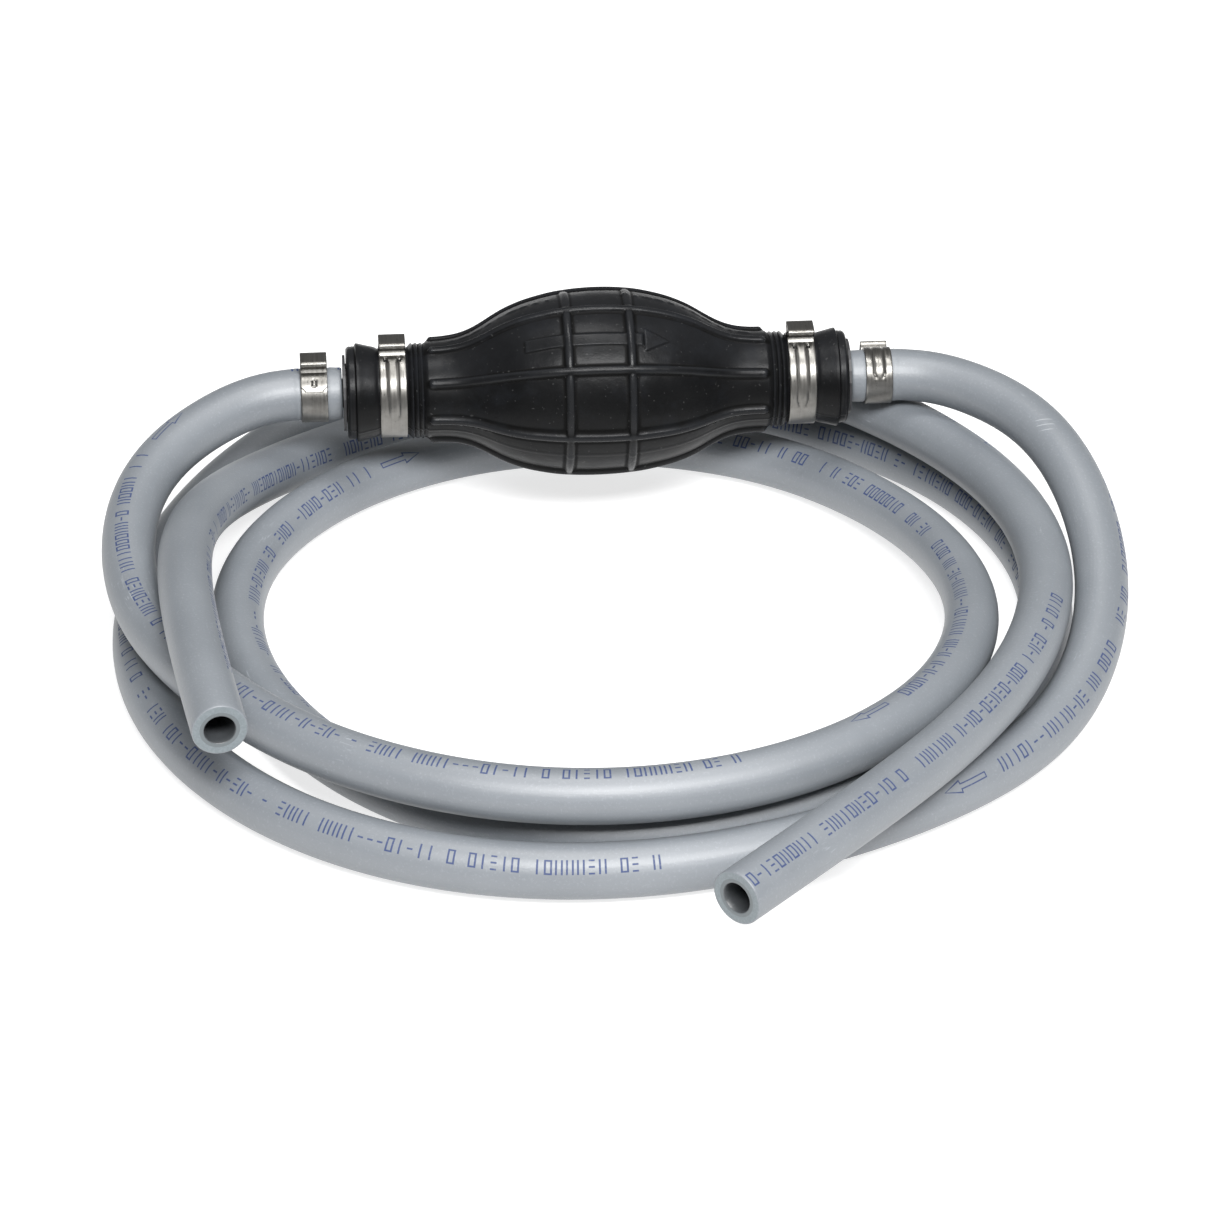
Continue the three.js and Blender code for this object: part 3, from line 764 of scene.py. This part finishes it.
def add_bulb():
    half = spaced(BULB_STOPS, BULB_STEPS)
    x = np.concatenate([-half[:0:-1], half])
    angle = spaced(ROUND_STOPS, ROUND_STEPS)[:-1]
    radius = outline_radius(BULB_OUTLINE, x)
    grid_x, grid_angle = np.meshgrid(x, angle, indexing="ij")
    relief = bulb_relief(grid_x, grid_angle, radius[:, None])
    # The inside, from lip to lip, with a ring added between each two points of its outline
    inner_x, inner_r = np.array(BULB_INSIDE, dtype=float).T
    inner_x = np.concatenate([inner_x, -inner_x[-2::-1]])
    inner_r = np.concatenate([inner_r, inner_r[-2::-1]])
    stations = np.arange(len(inner_x))
    spots = np.linspace(0, stations[-1], 2 * stations[-1] + 1)
    inner_x, inner_r = np.interp(spots, stations, inner_x), np.interp(spots, stations, inner_r)

    def ring(xs, rs):
        turn = np.radians(angle)
        rs = np.broadcast_to(rs, (len(xs), len(angle)))
        flat = np.broadcast_to(xs[:, None], rs.shape)
        rise = AXIS_Z + BOW * np.clip(1.0 - (flat / BOW_HALF) ** 2, 0.0, None) ** 2
        return np.stack([flat, AXIS_Y - rs * np.cos(turn), rise + rs * np.sin(turn)], axis=-1)

    vertices = np.concatenate([ring(x, radius[:, None] + relief), ring(inner_x, inner_r[:, None])])
    quads = grid_faces(len(vertices), len(angle), True)[:, ::-1]
    # How far each vertex stands proud: the material paints crests paler, partly as a highlight, and puts
    # painted shade in creases
    crest = np.concatenate([crests(relief), np.zeros((len(inner_x), len(angle)))])
    piece = add_mesh("primer_bulb_moulding", vertices, quads, BULB_RUBBER, {"crest": crest.ravel()})
    sharpen(piece, 60)
    add_piece(piece, "bulb_rubber", "primer_bulb")


add_bulb()

# ---------------------------------------------------------------------------------------------
# Clamps: strips bent into rings, with a pinched ear, and pressed grooves or an overlapping end
# ---------------------------------------------------------------------------------------------


def rounded(points, times):
    """Cuts the corners of a closed outline."""
    points = np.asarray(points, dtype=float)
    for _ in range(times):
        following = np.roll(points, -1, axis=0)
        cut = [0.75 * points + 0.25 * following, 0.25 * points + 0.75 * following]
        points = np.stack(cut, axis=1).reshape(-1, 2)
    return points


def even_points(points, step):
    """Points spread evenly along a closed outline."""
    loop = np.vstack([points, points[:1]])
    places = np.concatenate([[0.0], np.cumsum(np.linalg.norm(np.diff(loop, axis=0), axis=1))])
    count = int(round(places[-1] / step))
    wanted = np.linspace(0.0, places[-1], count + 1)[:-1]
    return np.stack([np.interp(wanted, places, loop[:, k]) for k in (0, 1)], axis=1)


def outward(points, closed):
    """The unit normals on the left of an outline's direction."""
    if closed:
        along = np.roll(points, -1, axis=0) - np.roll(points, 1, axis=0)
    else:
        along = np.gradient(points, axis=0)
    along /= np.linalg.norm(along, axis=1, keepdims=True)
    return np.stack([along[:, 1], -along[:, 0]], axis=1)


STRIP_EDGE, STRIP_COLUMNS = 0.22, 22


def strip_section(width, thickness):
    """A strip's cross-section as a loop of (across, depth under the outer face), edges rounded."""
    half, edge = width / 2, min(STRIP_EDGE, thickness * 0.35)
    flat = np.linspace(-half + edge, half - edge, STRIP_COLUMNS)
    outer = [(x, 0.0) for x in flat]
    right = [(half - 0.3 * edge, 0.3 * edge), (half, edge), (half, thickness - edge)]
    right += [(half - 0.3 * edge, thickness - 0.3 * edge)]
    inner = [(x, thickness) for x in flat[::-3]]
    left = [(-x, d) for x, d in right[::-1]]
    return np.array(outer + right + inner + left)


def strip(points, closed, width, thickness, pressed=None):
    """A bent strip: its vertices, its faces, how deep each vertex is pressed in, and its end faces."""
    section = strip_section(width, thickness)
    normal = outward(points, closed)
    x, depth = section.T
    dents = np.zeros((len(points), len(section)))
    if pressed is not None:
        dents = pressed(points, x) * (depth < 0.01)
    total = depth[None, :] + dents
    flat = np.broadcast_to(x[None, :], total.shape)
    planar = points[:, None, :] - total[..., None] * normal[:, None, :]
    vertices = np.stack([flat, planar[..., 0], planar[..., 1]], axis=-1)
    quads = grid_faces(len(points), len(section), closed)
    caps = []
    if not closed:
        last = (len(points) - 1) * len(section)
        caps = [list(range(len(section))), list(range(last, last + len(section)))[::-1]]
    return vertices.reshape(-1, 3), quads, dents.ravel(), caps


def joined(strips):
    """Several strips as one: vertices, faces, dents and end faces."""
    firsts = np.cumsum([0] + [len(vertices) for vertices, _, _, _ in strips])
    vertices, quads, dents, caps = zip(*strips)
    quads = [q + first for q, first in zip(quads, firsts)]
    caps = [[i + first for i in cap] for each, first in zip(caps, firsts) for cap in each]
    return np.concatenate(vertices), np.concatenate(quads), np.concatenate(dents), caps


# Half the gap that the ear bridges, and the ear's right half from its foot to its top: how far from
# its middle, and how far above the ring
GAP_HALF = 2.5
EAR_PROFILE = [(2.2, 0.35), (1.75, 0.9), (2.1, 1.6), (3.3, 2.3), (3.6, 3.1), (3.0, 3.75)]
EAR_TOP = 3.85
OUTLINE_STEP = 0.42
GROOVE_DEPTH, GROOVE_OFF, GROOVE_END_OFF, GROOVE_HALF = 0.26, 1.45, 0.90, 0.30
WINDOW_DEPTH, WINDOW_OFF, WINDOW_HALF = 0.5, 1.9, 0.45
TONGUE_OVERLAP, TONGUE_WIDTH = 4.0, 0.55
TAB_THICKNESS, TAB_CLIP, TAB_SUNK = 0.45, 1.5, 0.04
HOLE_HALF_LENGTH, HOLE_HALF_WIDTH, HOLE_RIM, HOLE_DEPTH = 1.05, 0.62, 0.22, 0.22
# A dent deeper than the first is shaded, in full at the second's further depth
SHADE_FROM, SHADE_OVER = 0.3, 0.15


def tab_strip(outer, start, stop):
    """The end of a strip that lies over the ring, with clipped corners and a punched oval."""
    radius = outer + TAB_THICKNESS - TAB_SUNK
    turn = np.radians(90.0 + np.linspace(start, stop, 60))
    points = np.stack([radius * np.cos(turn), radius * np.sin(turn)], axis=1)
    hole_at = math.radians(90.0 + 0.42 * start + 0.58 * stop)

    def pressed(places, x):
        along = (np.arctan2(places[:, 1], places[:, 0]) % (2 * math.pi) - hole_at)[:, None] * radius
        distance = np.hypot(along / HOLE_HALF_LENGTH, x[None, :] / HOLE_HALF_WIDTH) - 1.0
        return HOLE_DEPTH * box_mask(distance, HOLE_RIM, 0.3)

    vertices, quads, dents, caps = strip(points, False, CLAMP_WIDTH, TAB_THICKNESS, pressed)
    to_end = np.repeat((turn[-1] - turn) * radius, len(vertices) // len(turn))
    clipped = np.clip(1.0 - to_end / TAB_CLIP, 0.0, 1.0) * TAB_CLIP / (CLAMP_WIDTH / 2) * 0.9
    vertices[:, 0] *= 1.0 - clipped
    # The oval's rim is shaded as if it were pressed deeper than it is
    return vertices, quads, dents * 1.7, caps


def add_clamp(name, at, inner, ear_turn, groove_to=0.0, tab_to=0.0):
    """A clamp about the bulb's axis. The ear is at ear_turn degrees from the top, towards the back.

    groove_to is how far round towards the front the pressed grooves run from the ear, in degrees,
    and tab_to how far an overlapping end with clipped corners reaches.
    """
    outer = inner + BAND
    foot = math.asin(GAP_HALF / outer)
    foot_degrees = math.degrees(foot)
    arc = [math.pi / 2 + foot + (2 * math.pi - 2 * foot) * i / 90 for i in range(91)]
    ring = [(outer * math.cos(a), outer * math.sin(a)) for a in arc]
    right = [(y, outer + z) for y, z in EAR_PROFILE]
    ear = right + [(0.0, outer + EAR_TOP)] + [(-y, z) for y, z in right[::-1]]
    outline = even_points(rounded(ring + ear, 2), OUTLINE_STEP)

    def pressed(points, x):
        """Two grooves that draw together at their end, and two windows where they begin."""
        y, z = points.T
        turn = np.degrees(np.arctan2(-y, z))[:, None]
        from_ear = turn - foot_degrees
        on_ring = (np.hypot(y, z) < outer + 0.25)[:, None]
        along = smoothstep(7.0, 10.0, from_ear) * smoothstep(groove_to + 4.0, groove_to, turn)
        closing = smoothstep(groove_to - 9.0, groove_to + 3.0, turn)
        off = GROOVE_OFF + (GROOVE_END_OFF - GROOVE_OFF) * closing
        groove = box_mask(np.abs(x)[None, :] - off, GROOVE_HALF, 0.34) * along
        windows = box_mask(np.abs(x)[None, :] - WINDOW_OFF, WINDOW_HALF, 0.2)
        windows = windows * box_mask(from_ear - 6.5, 3.0, 1.2)
        return (GROOVE_DEPTH * groove + WINDOW_DEPTH * windows) * on_ring

    band = strip(outline, True, CLAMP_WIDTH, BAND, pressed if groove_to else None)
    # The tongue that closes the ring under the ear
    reach = foot + math.radians(TONGUE_OVERLAP)
    under = [math.pi / 2 - reach + 2 * reach * i / 24 for i in range(25)]
    bridge = np.array([((outer - 0.1) * math.cos(a), (outer - 0.1) * math.sin(a)) for a in under])
    strips = [band, strip(bridge, False, CLAMP_WIDTH * TONGUE_WIDTH, BAND - 0.15)]
    if tab_to:
        strips.append(tab_strip(outer, foot_degrees - 3.0, tab_to))
    vertices, quads, dents, caps = joined(strips)
    across, y, z = vertices.T
    # Made with the ear up and the grooves running down the front, then turned about the axis
    turn = math.radians(ear_turn)
    turned_y = y * math.cos(turn) + z * math.sin(turn)
    turned_z = -y * math.sin(turn) + z * math.cos(turn)
    placed = np.stack([at + across, AXIS_Y + turned_y, AXIS_Z + turned_z], axis=1)
    lay = np.stack([np.arctan2(y, z) * outer, across, np.hypot(y, z)], axis=1) * MM
    attributes = {"lay": lay, "shade": np.clip((dents - SHADE_FROM) / SHADE_OVER, 0.0, 1.0)}
    piece = add_mesh(name + "_band", placed, quads, CLAMP_STEEL, attributes, caps)
    sharpen(piece, 40)
    add_piece(piece, "clamp_steel", name)


for flow, side in (("inlet", -1), ("outlet", 1)):
    add_clamp(f"{flow}_bulb_clamp", side * BULB_CLAMP_AT, BULB_CLAMP_BORE, ear_turn=0.0, groove_to=99.0)
add_clamp("inlet_hose_clamp", -HOSE_CLAMP_AT, HOSE_CLAMP_BORE, ear_turn=0.0, tab_to=58.0)
add_clamp("outlet_hose_clamp", HOSE_CLAMP_AT, HOSE_CLAMP_BORE, ear_turn=80.0, groove_to=146.0)

# ---------------------------------------------------------------------------------------------
# Valve springs: coils from the balls to the walls of their cages
# ---------------------------------------------------------------------------------------------

# Where each valve begins, and from there where its coil starts and ends, and the cage's wall
INLET_VALVE_AT, OUTLET_VALVE_AT = -66.5, 44.5
SPRING_START, SPRING_END, SPRING_WALL = 11.0, 19.3, 20.0
SPRING_RADIUS, SPRING_WIRE, SPRING_TURNS = 2.8, 0.35, 5


def add_spring(flow, valve_at):
    """A coil from the ball to the wall of the cage."""
    steps, sides = 40 * SPRING_TURNS, 12
    t = np.linspace(0.0, 1.0, steps + 1)
    angle = 2 * math.pi * SPRING_TURNS * t[:, None]
    section = 2 * math.pi * np.arange(sides)[None, :] / sides
    along = valve_at + SPRING_START + (SPRING_END - SPRING_START) * t[:, None]
    reach = SPRING_RADIUS + SPRING_WIRE * np.cos(section)
    x = along + SPRING_WIRE * np.sin(section)
    vertices = np.stack([x, AXIS_Y + reach * np.cos(angle), AXIS_Z + reach * np.sin(angle)], axis=-1)
    quads = grid_faces(steps + 1, sides, False)
    last = steps * sides
    caps = [list(range(sides))[::-1], list(range(last, last + sides))]
    piece = add_mesh(f"{flow}_valve_spring_coil", vertices, quads, SPRING_STEEL, None, caps)
    add_piece(piece, "spring_steel", f"{flow}_valve_spring")
    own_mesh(piece)


add_spring("inlet", INLET_VALVE_AT)
add_spring("outlet", OUTLET_VALVE_AT)

# ---------------------------------------------------------------------------------------------
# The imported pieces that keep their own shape
# ---------------------------------------------------------------------------------------------

CARRIED = {
    "fitting": FITTING_PLASTIC, "valve_seat": VALVE_PLASTIC, "valve_cage": VALVE_PLASTIC,
    "cartridge_seal": SEAL_RUBBER, "seat_ring": SEAL_RUBBER, "valve_ball": BALL_PLASTIC,
}
for flow in ("inlet", "outlet"):
    for kind, material in CARRIED.items():
        node = bpy.data.objects[f"{flow}_{kind}"]
        if not node.material_slots:
            node.data.materials.append(material)
        for held in node.material_slots:
            held.material = material

# ---------------------------------------------------------------------------------------------
# Floor and light
# ---------------------------------------------------------------------------------------------

FLOOR_HALF, FLOOR_Z = 3000.0, -0.4


def add_floor():
    """Pale paper that glows a little, so that the object's shadows stay faint."""
    g = Graph("floor")
    paper = g.noise(g.geometry("Position"), 60.0, 3.0)
    colour = g.mix(g.spread(paper, 0.3, 0.7), (0.44, 0.44, 0.44), (0.47, 0.47, 0.47))
    material = g.finish(
        base_color=colour, roughness=0.9, specular_ior_level=0.1,
        emission_color=(1.0, 1.0, 1.0), emission_strength=0.72,
    )
    corners = [(x * FLOOR_HALF, y * FLOOR_HALF, FLOOR_Z) for x, y in ((-1, -1), (1, -1), (1, 1), (-1, 1))]
    floor = add_mesh("floor", corners, [(0, 1, 2, 3)], material)


def add_softbox(name, place, target, size, power, colour=(1.0, 1.0, 1.0)):
    data = bpy.data.lights.new(name, "AREA")
    data.shape, data.size, data.size_y = "RECTANGLE", size[0], size[1]
    data.energy, data.color = power, colour
    lamp = bpy.data.objects.new(name, data)
    bpy.context.scene.collection.objects.link(lamp)
    lamp.location = place
    lamp.rotation_euler = (Vector(target) - Vector(place)).to_track_quat("-Z", "Y").to_euler()


def add_world(strength):
    world = bpy.data.worlds.new("studio")
    world.use_nodes = True
    world.node_tree.nodes["Background"].inputs["Color"].default_value = (1.0, 1.0, 1.0, 1.0)
    world.node_tree.nodes["Background"].inputs["Strength"].default_value = strength
    bpy.context.scene.world = world


add_floor()
add_world(strength=0.24)
add_softbox(
    "overhead", place=(0.05, 0.10, 1.2), target=(0.0, 0.05, 0.0), size=(0.60, 0.26), power=7.0,
    colour=(1.0, 0.995, 0.985),
)
add_softbox("key", place=(0.15, -1.15, 1.45), target=(0.0, 0.03, 0.0), size=(1.3, 0.5), power=60.0)
view = bpy.context.scene.view_settings
view.view_transform, view.look = "Standard", "None"
